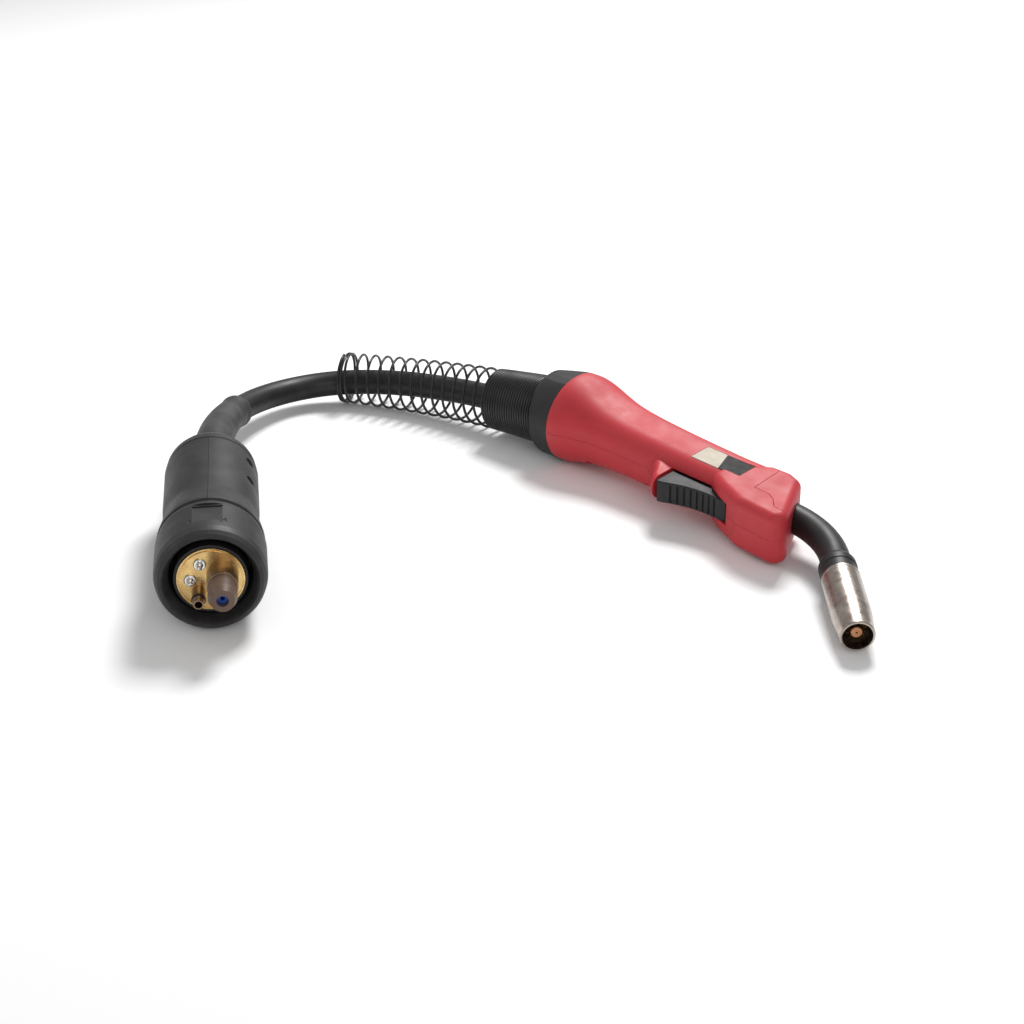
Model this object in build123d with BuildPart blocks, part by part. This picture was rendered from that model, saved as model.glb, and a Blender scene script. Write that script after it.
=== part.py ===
from build123d import *
from math import cos, pi, radians, sin, sqrt, tan
import os

os.makedirs("parts", exist_ok=True)

# A MIG welding torch on a short cable, lying on its side on a flat surface at z = 0.
# x runs along the handle towards the nozzle, the trigger faces -y, z is up.
# The origin is on the floor under the middle of the torch, without its cable.
# The torch has its own frame: u along the handle, v to the back of the hand, w to its upper side.
# The connector has its own frame too: z out of its mouth, with z = 0 at the nut's lip, and x up.

# ---------------------------------------------------------------- driving dimensions (mm, degrees)
TORCH_X, TORCH_Y = -113.0, 24.1  # rear end of the handle, on its axis
AXIS_HEIGHT = 26.3  # the handle axis there, above the floor
NOSE_DOWN = 2.5  # the handle slopes down to the nozzle tip
TRIGGER_DOWN = 4.0  # the torch is rolled a little, trigger side down
GAP = 0.3  # clearance between pieces that move against each other
SEAM = 0.15  # clearance between pieces that are screwed or clipped together
PARTING = 0.06  # gap between the two halves of the handle

COLLAR_RADIUS = 26.0  # the torch rests on its rear collar
COLLAR_PIVOT = 5.0  # the collar swivels about this point of the handle axis
NOSE_HALF = 15.3  # half the thickness of the nose, across the two shells
SHELL_WALL = 2.4

NECK_RADIUS = 7.8
NECK_CORE_RADIUS = 4.8
NECK_BEND_RADIUS = 60.0
NECK_ANGLE = 44.0
NECK_V = -3.9
NECK_BEND_U = 161.0  # where the neck starts to bend
NECK_REACH = 19.3  # from the end of the bend to the rear edge of the nozzle

NOZZLE_LENGTH = 50.0
NOZZLE_RADIUS = 9.8
NOZZLE_TIP_RADIUS = 8.6
NOZZLE_BORE = 7.4
TIP_RECESS = 3.3  # the contact tip ends this far inside the nozzle
WIRE_RADIUS = 0.5

TRIGGER_REAR, TRIGGER_FRONT = 92.6, 135.6
TRIGGER_HALF = 6.4
PIVOT_U, PIVOT_V = 131.0, -15.6
PLUNGER_U = 95.0

CABLE_RADIUS = 7.5
SPRING_WIRE_RADIUS = 0.8
SPRING_RADII = (14.6, 17.3, 19.4)  # mean coil radius at the cable end, the close coils, the seat

PLUG_YAW = -37.3  # heading of the connector's mouth
PLUG_X, PLUG_Y = -94.0, -246.5  # centre of the connector's mouth
NUT_RADIUS = 27.5  # the connector rests on its nut
NUT_LENGTH = 36.0
PLUG_SHELL_RADIUS = 24.6
FACE_DEPTH = 3.2  # the brass face sits this far behind the nut's lip
FACE_RADIUS = 16.6
INSULATOR_RADIUS = 17.9

# ---------------------------------------------------------------- frames
lean = Vector(1, 0, 0).rotate(Axis.Y, NOSE_DOWN)
upper_side = Vector(0, 0, 1).rotate(Axis.X, TRIGGER_DOWN).rotate(Axis.Y, NOSE_DOWN)
torch = Plane(origin=(TORCH_X, TORCH_Y, AXIS_HEIGHT), x_dir=lean, z_dir=upper_side)
mouth = Vector(cos(radians(PLUG_YAW)), sin(radians(PLUG_YAW)), 0)
plug = Plane(origin=(PLUG_X, PLUG_Y, NUT_RADIUS), x_dir=(0, 0, 1), z_dir=mouth)


def spot(frame, x, y, z=0):
    """A point given in a frame's own coordinates."""
    return frame.from_local_coords((x, y, z))


def moved(frame, x, y, z=0):
    """The same frame with its origin at another point of it."""
    return Plane(origin=spot(frame, x, y, z), x_dir=frame.x_dir, z_dir=frame.z_dir)


def aim(frame, x, y, heading):
    """A frame at a point of another one, its z axis turned by heading in that one's xy plane."""
    ahead = frame.x_dir * cos(radians(heading)) + frame.y_dir * sin(radians(heading))
    return Plane(origin=spot(frame, x, y), x_dir=frame.z_dir, z_dir=ahead)


def station(u):
    """The cross-section plane of the handle at u: its x is v, its y is w."""
    return Plane(origin=spot(torch, u, 0), x_dir=torch.y_dir, z_dir=torch.x_dir)


def across(frame):
    """The plane through a frame's z axis: its x is the radius, its y the height."""
    return Plane(origin=frame.origin, x_dir=frame.x_dir, z_dir=frame.x_dir.cross(frame.z_dir))


def spin(frame, outline, mode=Mode.ADD):
    """Revolve an outline of (radius, height) points about a frame's z axis."""
    with BuildSketch(across(frame)) as profile:
        with BuildLine():
            Polyline(*outline, close=True)
        make_face()
    revolve(profile.sketch, axis=Axis(frame.origin, frame.z_dir), mode=mode)


def ring(frame, outer, inner, low, high, mode=Mode.ADD):
    """A tube, or a disc where inner is 0, about a frame's z axis."""
    spin(frame, [(inner, low), (outer, low), (outer, high), (inner, high)], mode)


def slab(frame, outline, low, high, mode=Mode.ADD):
    """Extrude an outline drawn in a frame's xy plane from one height to another."""
    with BuildSketch(frame.offset(low)) as shape:
        with BuildLine():
            Polyline(*outline, close=True)
        make_face()
    extrude(shape.sketch, amount=high - low, mode=mode)


def box(frame, x, y, low, high, mode=Mode.ADD):
    """A block over an x range and a y range of a frame."""
    slab(frame, [(x[0], y[0]), (x[1], y[0]), (x[1], y[1]), (x[0], y[1])], low, high, mode)


def hexagon(frame, corner_radius, low, high):
    """A hexagonal prism about a frame's z axis."""
    with BuildSketch(frame.offset(low)) as shape:
        RegularPolygon(corner_radius, 6)
    extrude(shape.sketch, amount=high - low)


def corner_radii(points):
    """The largest even bend at each inner point of a route: 0.45 of the shorter run."""
    radii = []
    for before, here, after in zip(points, points[1:], points[2:]):
        arriving = Vector(*here) - Vector(*before)
        leaving = Vector(*after) - Vector(*here)
        half_turn = radians(arriving.get_angle(leaving)) / 2
        radii.append(0.45 * min(arriving.length, leaving.length) / tan(half_turn))
    return radii


def tube(points, radius, radii=None):
    """A round bar along straight runs joined by tangent arcs."""
    with BuildLine() as route:
        FilletPolyline(*points, radius=radii or corner_radii(points))
    start = Plane(origin=route.wire() @ 0, z_dir=route.wire() % 0)
    with BuildSketch(start) as section:
        Circle(radius)
    sweep(section.sketch, path=route.wire())
    return route.wire()


def write(piece, name):
    """Label a finished piece and write it as one file."""
    piece.part.label = name
    export_step(piece.part, f"parts/{name}.step")


# ---------------------------------------------------------------- neck line
bend_end_u = NECK_BEND_U + NECK_BEND_RADIUS * sin(radians(NECK_ANGLE))
bend_end_v = NECK_V - NECK_BEND_RADIUS * (1 - cos(radians(NECK_ANGLE)))
# the nozzle frame: z out of the nozzle, with z = 0 at its rear edge
nozzle = aim(
    torch,
    bend_end_u + NECK_REACH * cos(radians(NECK_ANGLE)),
    bend_end_v - NECK_REACH * sin(radians(NECK_ANGLE)),
    -NECK_ANGLE,
)
CORE_REAR_U, SLEEVE_REAR_U = 79.0, 111.0
CORE_END, SLEEVE_END = 4.0, -1.0  # heights in the nozzle's frame


def bend_point(angle):
    """A point of the neck's bend, at an angle from its start."""
    turned = radians(angle)
    u = NECK_BEND_U + NECK_BEND_RADIUS * sin(turned)
    return spot(torch, u, NECK_V - NECK_BEND_RADIUS * (1 - cos(turned)))


def neck_bar(start_u, end_height, radius, mode=Mode.ADD):
    """A round bar along the neck's line, from the handle to a height in the nozzle's frame."""
    with BuildLine() as line:
        Line(spot(torch, start_u, NECK_V), bend_point(0))
        ThreePointArc(bend_point(0), bend_point(NECK_ANGLE / 2), bend_point(NECK_ANGLE))
        Line(bend_point(NECK_ANGLE), spot(nozzle, 0, 0, end_height))
    with BuildSketch(aim(torch, start_u, NECK_V, 0)) as section:
        Circle(radius)
    sweep(section.sketch, path=line.wire(), mode=mode)


# ---------------------------------------------------------------- handle body
# grip stations: u, front v, back v, half thickness, corner radius, height of the middle
GRIP_STATIONS = [
    (5.0, -25.9, 26.0, 25.9, 25.7, 0.0),
    (14.0, -24.0, 25.6, 24.4, 22.5, 0.2),
    (24.0, -20.8, 23.4, 20.5, 17.0, 0.0),
    (36.0, -18.6, 20.8, 17.5, 13.5, -0.5),
    (50.0, -17.6, 18.8, 16.0, 11.5, -0.8),
    (66.0, -17.2, 17.2, 15.4, 10.5, -0.8),
    (84.0, -17.2, 15.9, 15.2, 10.0, -0.8),
    (104.0, -17.2, 14.8, 15.1, 9.5, -0.8),
    (124.0, -17.2, 13.9, 15.0, 9.0, -0.6),
    (142.0, -17.4, 13.2, 15.0, 8.5, -0.4),
]
# the fin behind the trigger: u, front v, half width, corner radius
FIN_STATIONS = [
    (70.0, -15.5, 8.5, 6.5),
    (78.0, -19.0, 8.4, 6.5),
    (84.0, -24.5, 8.0, 6.5),
    (88.0, -30.8, 7.4, 6.4),
    (91.0, -32.8, 6.9, 6.2),
]
NOSE_OUTLINE = [
    (118, -4),
    (137, 12.0),
    (149, 12.6),
    (157.5, 9.5),
    (164, -3),
    (175, -25),
    (169.5, -31),
    (145, -29.5),
    (128, -22.6),
    (118, -17.0),
]
CAP_OUTLINE = [
    (142.5, 30),
    (145, -14),
    (154.5, -14.3),
    (159.5, -17),
    (164.5, -22.5),
    (190, -22.5),
    (190, 30),
]
NECK_RIBS = (114.0, 137.5)
RIB_THICKNESS = 2.5
# shell screws: u, v, half thickness of the handle there
SCREW_SPOTS = [
    (28.0, 13.5, 16.0),
    (28.0, -13.2, 14.8),
    (72.0, 10.6, 14.8),
    (72.0, -12.5, 14.2),
    (133.0, 8.3, 14.2),
    (158.0, -24.6, NOSE_HALF),
]
BOSS_RADIUS = 3.3
SCREW_RADIUS = 1.45
HEAD_RADIUS = 2.7
HEAD_HEIGHT = 2.2
HEAD_DEPTH = 4.5  # the screw head's seat, below the lower shell's surface
SLOT_DEPTH_V = -12.2
LABEL = (98.5, 131.8, -10.4, 4.0)  # u and v ranges of the label plate
LABEL_FLOOR = 13.7
LABEL_THICKNESS = 0.6


def grip_sections(inset):
    """The grip's cross-sections, shrunk all round by inset."""
    sections = []
    for u, front, back, half, corner, middle in GRIP_STATIONS:
        with BuildSketch(station(u)) as section:
            with Locations(((front + back) / 2, middle)):
                RectangleRounded(back - front - 2 * inset, 2 * (half - inset), corner - inset)
        sections.append(section.sketch)
    return sections


def fin_sections(inset):
    """The trigger fin's cross-sections, shrunk all round by inset."""
    sections = []
    for u, front, half, corner in FIN_STATIONS:
        with BuildSketch(station(u - inset)) as section:
            with Locations((front / 2, 0)):
                RectangleRounded(-front - 2 * inset, 2 * (half - inset), corner - inset)
        sections.append(section.sketch)
    return sections


with BuildPart() as nose_block:
    slab(torch, NOSE_OUTLINE, -NOSE_HALF, NOSE_HALF)
    fillet(nose_block.edges().filter_by(Axis(torch.origin, torch.z_dir)), 5.6)
    rims = nose_block.faces().filter_by(Axis(torch.origin, torch.z_dir)).edges()
    fillet(rims, 5.0)

with BuildPart() as handle_body:
    loft(grip_sections(0))
    loft(fin_sections(0), ruled=True)
    add(nose_block.part)

with BuildPart() as handle_cavity:
    loft(grip_sections(SHELL_WALL))
    with BuildSketch(torch.offset(SHELL_WALL - NOSE_HALF)) as nose_room:
        with BuildLine():
            Polyline(*NOSE_OUTLINE, close=True)
        make_face()
        offset(amount=-SHELL_WALL, kind=Kind.INTERSECTION)
    extrude(nose_room.sketch, amount=2 * (NOSE_HALF - SHELL_WALL))

neck_seat = aim(torch, 0, NECK_V, 0)  # z runs along the handle on the neck's axis

with BuildPart() as inner_walls:
    for u, v, half in SCREW_SPOTS:
        ring(moved(torch, u, v), BOSS_RADIUS, 0, -half, half)
    for u in NECK_RIBS:
        box(torch, (u, u + RIB_THICKNESS), (-17, 14), -16, 16)
    for u in (86.5, 103.0):
        box(torch, (u, u + 2), (-17, -9.2), -16, 16)
    add(handle_body.part, mode=Mode.INTERSECT)

with BuildPart() as hollow_handle:
    add(handle_body.part)
    add(handle_cavity.part, mode=Mode.SUBTRACT)
    add(inner_walls.part)
    box(torch, (85.8, 106.2), (-15.4, -8.8), -3.4, 3.4, Mode.SUBTRACT)
    slot_u = (TRIGGER_REAR - 5 * GAP, TRIGGER_FRONT + 2 * GAP)
    box(torch, slot_u, (-40, SLOT_DEPTH_V), -TRIGGER_HALF - GAP, TRIGGER_HALF + GAP, Mode.SUBTRACT)
    ring(moved(torch, PIVOT_U, PIVOT_V), 1.55, 0, -10.4, 10.4, Mode.SUBTRACT)
    neck_bar(SLEEVE_REAR_U - 1, SLEEVE_END, NECK_RADIUS + SEAM, Mode.SUBTRACT)
    box(torch, LABEL[:2], LABEL[2:], LABEL_FLOOR, 18, Mode.SUBTRACT)

with BuildPart() as cap_space:
    slab(torch, CAP_OUTLINE, -60, 60)

with BuildPart() as cap_space_wide:
    with BuildSketch(torch.offset(-60)) as wide_outline:
        with BuildLine():
            Polyline(*CAP_OUTLINE, close=True)
        make_face()
        offset(amount=SEAM, kind=Kind.INTERSECTION)
    extrude(wide_outline.sketch, amount=120)

# ---------------------------------------------------------------- handle shells
with BuildPart() as handle_shell_left:
    add(hollow_handle.part)
    add(cap_space_wide.part, mode=Mode.SUBTRACT)
    box(torch, (-60, 240), (-100, 100), -60, PARTING / 2, Mode.SUBTRACT)
    for u, v, half in SCREW_SPOTS:
        ring(moved(torch, u, v), SCREW_RADIUS + 0.05, 0, -1, 10, Mode.SUBTRACT)
write(handle_shell_left, "handle_shell_left")

with BuildPart() as handle_shell_right:
    add(hollow_handle.part)
    add(cap_space_wide.part, mode=Mode.SUBTRACT)
    box(torch, (-60, 240), (-100, 100), -PARTING / 2, 60, Mode.SUBTRACT)
    for u, v, half in SCREW_SPOTS:
        post = moved(torch, u, v)
        ring(post, SCREW_RADIUS + 0.2, 0, -half - 5, 1, Mode.SUBTRACT)
        ring(post, HEAD_RADIUS + 0.2, 0, -half - 5, HEAD_DEPTH - half, Mode.SUBTRACT)
write(handle_shell_right, "handle_shell_right")

with BuildPart() as front_cap:
    add(hollow_handle.part)
    add(cap_space.part, mode=Mode.INTERSECT)
write(front_cap, "front_cap")

with BuildPart() as shell_screws:
    for u, v, half in SCREW_SPOTS:
        post = moved(torch, u, v)
        seat = HEAD_DEPTH - half
        ring(post, HEAD_RADIUS, 0, seat - HEAD_HEIGHT, seat)
        ring(post, SCREW_RADIUS, 0, seat, 9)
        with BuildSketch(post.offset(seat - HEAD_HEIGHT)) as recess:
            RegularPolygon(1.5, 6)
        extrude(recess.sketch, amount=1.4, mode=Mode.SUBTRACT)
write(shell_screws, "shell_screws")

with BuildPart() as label_plate:
    u0, u1, v0, v1 = LABEL
    box(
        torch,
        (u0 + SEAM, u1 - SEAM),
        (v0 + SEAM, v1 - SEAM),
        LABEL_FLOOR,
        LABEL_FLOOR + LABEL_THICKNESS,
    )
write(label_plate, "label_plate")

# ---------------------------------------------------------------- rear collar and spring seat
# The collar swivels in the handle; here it hangs down towards the cable.
COLLAR_RISE, COLLAR_YAW = 5.3, 6.7
COLLAR_REAR = -17.0
SEAT_REAR = -34.8
COLLAR_FLATS = 10
swivel_way = Vector(1, 0, 0).rotate(Axis.Y, -COLLAR_RISE).rotate(Axis.Z, COLLAR_YAW)
swivel = Plane(origin=spot(torch, COLLAR_PIVOT, 0), x_dir=torch.z_dir, z_dir=swivel_way)

with BuildPart() as handle_collar:
    spin(
        swivel,
        [
            (9.2, COLLAR_REAR),
            (23.6, COLLAR_REAR),
            (24.4, -16.0),
            (25.2, -8.0),
            (COLLAR_RADIUS - 0.2, 0),
            (COLLAR_RADIUS - 0.2, 4),
            (22.8, 4),
            (22.4, -8.0),
            (18.5, -12.0),
            (9.2, -12.0),
        ],
    )
    box(torch, (COLLAR_PIVOT - GAP, 40), (-40, 40), -40, 40, Mode.SUBTRACT)
    for k in range(COLLAR_FLATS):
        turned = swivel.rotated((0, 0, 360 * (k + 0.5) / COLLAR_FLATS))
        tilt = 6 if k % 2 else -6
        cut = Plane(origin=spot(turned, 24.9, 0, -6), x_dir=turned.y_dir, z_dir=turned.x_dir)
        with BuildSketch(cut.rotated((tilt, 0, 0))) as flat:
            Rectangle(30, 40)
        extrude(flat.sketch, amount=8, mode=Mode.SUBTRACT)
write(handle_collar, "handle_collar")

with BuildPart() as spring_seat:
    ring(swivel, 15.8, 9.2, SEAT_REAR, COLLAR_REAR - 0.05)
write(spring_seat, "spring_seat")

# ---------------------------------------------------------------- cable support spring
# The spring's axis is one cubic curve from its free end to the seat.
SPRING_START = Vector(-265.0, -16.4, 16.1)
SPRING_PULL = Vector(-224.0, 7.6, 15.7)
SPRING_LEAD = Vector(-177.6, 16.9, 21.4)
SPRING_END = spot(swivel, 0, 0, COLLAR_REAR - 2.4)
END_COILS = 3
OPEN_COILS = 12
CLOSE_COILS = 21
END_PITCH, CLOSE_PITCH = 1.75, 1.9


def spring_point(t):
    """A point of the spring's axis."""
    pull = SPRING_PULL * (3 * t * (1 - t) ** 2) + SPRING_LEAD * (3 * t**2 * (1 - t))
    return SPRING_START * (1 - t) ** 3 + pull + SPRING_END * t**3


def spring_direction(t):
    """The direction of the spring's axis, at its full speed along the curve."""
    early = (SPRING_PULL - SPRING_START) * (3 * (1 - t) ** 2)
    middle = (SPRING_LEAD - SPRING_PULL) * (6 * t * (1 - t))
    return early + middle + (SPRING_END - SPRING_LEAD) * (3 * t**2)


SPRING_LENGTH = 144.4  # along the axis
SPRING_STEPS = 400


def along_spring(distance):
    """The curve parameter at a distance along the axis, by small steps."""
    t, travelled = 0.0, 0.0
    while travelled < distance and t < 1:
        travelled += spring_direction(t).length / SPRING_STEPS
        t += 1 / SPRING_STEPS
    return t


def coil_distances():
    """Where each coil lies along the axis: close, open, then close again at the seat."""
    close_start = SPRING_LENGTH - (CLOSE_COILS - 1) * CLOSE_PITCH
    distances = [k * END_PITCH for k in range(END_COILS)]
    pitch = (close_start - distances[-1]) / (OPEN_COILS + 1)
    distances += [distances[-1] + (k + 1) * pitch for k in range(OPEN_COILS)]
    return distances + [close_start + k * CLOSE_PITCH for k in range(CLOSE_COILS)]


with BuildPart() as support_spring:
    places = coil_distances()
    close_start = places[-CLOSE_COILS]
    free_radius, close_radius, seat_radius = SPRING_RADII
    for distance in places:
        if distance < close_start:
            coil_radius = free_radius + (close_radius - free_radius) * distance / close_start
        else:
            share = (distance - close_start) / (SPRING_LENGTH - close_start)
            coil_radius = close_radius + (seat_radius - close_radius) * share
        t = along_spring(distance)
        coil = Plane(origin=spring_point(t), z_dir=spring_direction(t).normalized())
        with BuildSketch(across(coil)) as wire_section:
            with Locations((coil_radius, 0)):
                Circle(SPRING_WIRE_RADIUS)
        revolve(wire_section.sketch, axis=Axis(coil.origin, coil.z_dir))
write(support_spring, "support_spring")

# ---------------------------------------------------------------- neck
with BuildPart() as neck_core:
    neck_bar(CORE_REAR_U, CORE_END, NECK_CORE_RADIUS)
    neck_bar(CORE_REAR_U, CORE_END, 1.6, Mode.SUBTRACT)
write(neck_core, "neck_core")

with BuildPart() as neck_sleeve:
    neck_bar(SLEEVE_REAR_U, SLEEVE_END, NECK_RADIUS)
    neck_bar(SLEEVE_REAR_U, SLEEVE_END, NECK_CORE_RADIUS + 0.05, Mode.SUBTRACT)
write(neck_sleeve, "neck_sleeve")

with BuildPart() as neck_nut:
    hexagon(moved(neck_seat, 0, 0, 76), 6.6, 0, 8.8)
    ring(neck_seat, 5.4, 0, 75, 78.8, Mode.SUBTRACT)
    ring(neck_seat, NECK_CORE_RADIUS + 0.05, 0, 70, 90, Mode.SUBTRACT)
write(neck_nut, "neck_nut")

# ---------------------------------------------------------------- nozzle end
with BuildPart() as nozzle_collar:
    spin(
        nozzle,
        [
            (NECK_RADIUS + 0.05, -14),
            (8.4, -14),
            (9.3, -11),
            (9.7, -10.5),
            (9.7, -6.5),
            (9.3, -6),
            (9.3, -0.4),
            (NECK_RADIUS + 0.05, -0.4),
        ],
    )
write(nozzle_collar, "nozzle_collar")

with BuildPart() as nozzle_insulator:
    spin(
        nozzle,
        [
            (5.7, -0.3),
            (8.35, -0.3),
            (8.35, 6),
            (7.4, 6.5),
            (7.4, 12.5),
            (8.35, 13),
            (8.35, 17),
            (5.7, 17),
        ],
    )
write(nozzle_insulator, "nozzle_insulator")

with BuildPart() as nozzle_spring:
    for height in (8.3, 9.5, 10.7):
        coil = moved(nozzle, 0, 0, height)
        with BuildSketch(across(coil)) as wire_section:
            with Locations((7.9, 0)):
                Circle(0.45)
        revolve(wire_section.sketch, axis=Axis(coil.origin, coil.z_dir))
write(nozzle_spring, "nozzle_spring")

with BuildPart() as tip_holder:
    spin(
        nozzle,
        [
            (1.6, CORE_END + 0.1),
            (5.55, CORE_END + 0.1),
            (5.55, 20),
            (5.0, 24.5),
            (3.05, 24.5),
            (3.05, 17),
            (1.6, 17),
        ],
    )
    for k in range(4):
        side = nozzle.rotated((0, 0, 90 * k))
        hole = Plane(origin=spot(side, 0, 0, 20.5), x_dir=side.z_dir, z_dir=side.x_dir)
        ring(hole, 0.9, 0, 2, 8, Mode.SUBTRACT)
write(tip_holder, "tip_holder")

with BuildPart() as contact_tip:
    tip_end = NOZZLE_LENGTH - TIP_RECESS
    spin(
        nozzle,
        [
            (WIRE_RADIUS, 17.2),
            (3.0, 17.2),
            (3.0, 24.6),
            (4.0, 24.6),
            (4.0, 36),
            (3.0, 42),
            (3.0, tip_end - 0.5),
            (2.6, tip_end),
            (WIRE_RADIUS, tip_end),
        ],
    )
write(contact_tip, "contact_tip")

with BuildPart() as gas_nozzle:
    spin(
        nozzle,
        [
            (8.45, 0),
            (9.5, 0),
            (NOZZLE_RADIUS, 0.4),
            (NOZZLE_RADIUS, 1.8),
            (9.6, 2.1),
            (9.6, 3.1),
            (NOZZLE_RADIUS, 3.4),
            (NOZZLE_RADIUS, 33),
            (9.4, 38),
            (NOZZLE_TIP_RADIUS, 47),
            (NOZZLE_TIP_RADIUS, NOZZLE_LENGTH - 0.6),
            (NOZZLE_TIP_RADIUS - 0.5, NOZZLE_LENGTH),
            (NOZZLE_BORE, NOZZLE_LENGTH),
            (NOZZLE_BORE, 44),
            (8.45, 36),
        ],
    )
write(gas_nozzle, "gas_nozzle")

# ---------------------------------------------------------------- trigger and switch
pivot = moved(torch, PIVOT_U, PIVOT_V)
RIB_COUNT = 8

with BuildPart() as trigger:
    with BuildSketch(torch.offset(-TRIGGER_HALF)) as side_view:
        with BuildLine():
            Polyline(
                (130, -24.6),
                (133.6, -23.7),
                (TRIGGER_FRONT, -21.8),
                (TRIGGER_FRONT, -13),
                (127, -13),
                (123.5, -18),
                (TRIGGER_REAR, -18),
                (TRIGGER_REAR, -30.9),
                (93.8, -32.2),
                (96.8, -31.4),
            )
            ThreePointArc((96.8, -31.4), (110, -26.3), (130, -24.6))
        make_face()
    extrude(side_view.sketch, amount=2 * TRIGGER_HALF)
    fillet(trigger.faces().filter_by(Axis(torch.origin, torch.z_dir)).edges(), 0.8)
    for k in range(RIB_COUNT):
        u = 101.0 + k * 26.0 / (RIB_COUNT - 1)
        floor_v = -31.4 + 0.205 * (u - 96.8) + 2.4 * (1 - ((u - 113.4) / 16.6) ** 2) + 0.7
        box(torch, (u - 0.7, u + 0.7), (-36, floor_v), -5.2, 5.2, Mode.SUBTRACT)
    ring(pivot, 1.55, 0, -20, 20, Mode.SUBTRACT)
write(trigger, "trigger")

with BuildPart() as trigger_pin:
    ring(pivot, 1.5, 0, -10.2, 10.2)
write(trigger_pin, "trigger_pin")

plunger_seat = aim(torch, PLUNGER_U, 0, 90)  # z runs into the handle
with BuildPart() as microswitch:
    box(torch, (86, 106), (-15.2, -9.0), -3.2, 3.2)
    ring(plunger_seat, 1.08, 0, -16, -9.6, Mode.SUBTRACT)
    for u in (89, 103):
        ring(moved(torch, u, -11), 1.1, 0, -5, 5, Mode.SUBTRACT)
write(microswitch, "microswitch")

with BuildPart() as switch_plunger:
    ring(plunger_seat, 1.0, 0, -17.7, -12.1)
write(switch_plunger, "switch_plunger")

with BuildPart() as switch_terminals:
    for w in (-1.6, 1.6):
        box(torch, (81.5, 85.95), (-13.5, -11), w - 0.3, w + 0.3)
write(switch_terminals, "switch_terminals")

LEAD_RADIUS = 0.7
with BuildPart() as switch_leads:
    for side in (-1, 1):
        lead = [
            (81.1, -12.2, 1.6 * side),
            (78.5, -11, 3.5 * side),
            (75, -8.2, 7.2 * side),
            (62, -8.4, 7.4 * side),
            (40, -8.8, 6.6 * side),
            (18, -9.2, 5.4 * side),
        ]
        tube([spot(torch, *point) for point in lead], LEAD_RADIUS, 1.5)
write(switch_leads, "switch_leads")

# ---------------------------------------------------------------- cable
CABLE_ROUTE = [
    (-192.6, -171.4, 27.5),
    (-222.5, -148.6, 27.4),
    (-255, -115, 22.5),
    (-276, -78.5, 15.8),
    (-281, -44.5, 11.8),
    (-267, -18.5, 13),
    (-237, 0.5, 16),
    (-203, 12, 18.5),
    (-169, 17.6, 21),
    (-140, 20.4, 23.2),
    (-120.5, 22.6, 24.9),
]

with BuildPart() as power_cable:
    cable_line = tube(CABLE_ROUTE, CABLE_RADIUS)
write(power_cable, "power_cable")
print("cable length", round(cable_line.length, 1))
print("cable bends", [round(r) for r in corner_radii(CABLE_ROUTE)])
print("cable volume ratio", power_cable.part.volume / (pi * CABLE_RADIUS**2 * cable_line.length))

# ---------------------------------------------------------------- cable end inside the handle
fitting_rear = spot(swivel, 0, 0, -10.5)
neck_rear = spot(torch, CORE_REAR_U - 1, NECK_V)
fitting = Plane(origin=fitting_rear, x_dir=torch.z_dir, z_dir=neck_rear - fitting_rear)
with BuildPart() as cable_fitting:
    ring(fitting, 4.6, 1.6, 0, 82.5)
    ring(fitting, 6.2, 4.0, 30, 60)
    hexagon(moved(fitting, 0, 0, 46), 7.4, 0, 12)
    ring(fitting, 1.6, 0, -1, 90, Mode.SUBTRACT)
write(cable_fitting, "cable_fitting")

with BuildPart() as crimp_ferrule:
    ring(fitting, 6.9, 4.65, 0.3, 26)
    for height in (8, 16):
        ring(fitting, 8, 6.4, height, height + 2.4, Mode.SUBTRACT)
write(crimp_ferrule, "crimp_ferrule")

# ---------------------------------------------------------------- connector: nut and plug
THREAD_RADIUS = 20.4
FLATS = 8
with BuildPart() as connector_nut:
    spin(
        plug,
        [
            (23.6, 0),
            (25.4, -0.9),
            (26.8, -3.2),
            (NUT_RADIUS, -7),
            (NUT_RADIUS, -NUT_LENGTH + 5),
            (27.1, -NUT_LENGTH + 2),
            (26.2, -NUT_LENGTH),
            (18.2, -NUT_LENGTH),
            (18.2, -31),
            (THREAD_RADIUS, -31),
            (THREAD_RADIUS, -7),
            (22.6, -1.2),
            (23.2, -0.4),
        ],
    )
    for k in range(FLATS):
        turned = plug.rotated((0, 0, 360 * k / FLATS))
        flat = Plane(origin=spot(turned, 26.5, 0, -21.5), x_dir=turned.y_dir, z_dir=turned.x_dir)
        with BuildSketch(flat) as grip_flat:
            Rectangle(20, 18.5)
        extrude(grip_flat.sketch, amount=4, mode=Mode.SUBTRACT)
        with BuildSketch(flat) as engraved:
            with BuildLine():
                Polyline((-7.6, -8), (7.6, -8), (4.4, 6.5), (-4.4, 6.5), close=True)
            make_face()
        extrude(engraved.sketch, amount=-0.7, mode=Mode.SUBTRACT)
        groove = plug.rotated((0, 0, 360 * (k + 0.5) / FLATS))
        scoop = Plane(origin=spot(groove, 27.9, 0, -12.2), x_dir=groove.x_dir, z_dir=-groove.z_dir)
        with BuildSketch(scoop) as groove_mouth:
            Circle(0.5)
        with BuildSketch(scoop.offset(18.6)) as groove_end:
            Circle(2.2)
        loft([groove_mouth.sketch, groove_end.sketch], mode=Mode.SUBTRACT)
write(connector_nut, "connector_nut")

# places on the face: x up, y to the left when looking into the mouth
PIN_SPOT = (1.7, -5.7)
NIPPLE_SPOT = (-6.7, 6.2)
CONTACT_SPOTS = [(8.4, 4.8), (0.2, 9.8)]
BUSH_RADIUS, BUSH_BORE = 3.0, 1.8
BUSH_REAR = -13.0
LEAD_ROOM = 1.2  # radius of the lead holes
power_seat = moved(plug, *PIN_SPOT)
nipple_seat = moved(plug, *NIPPLE_SPOT)

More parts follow.
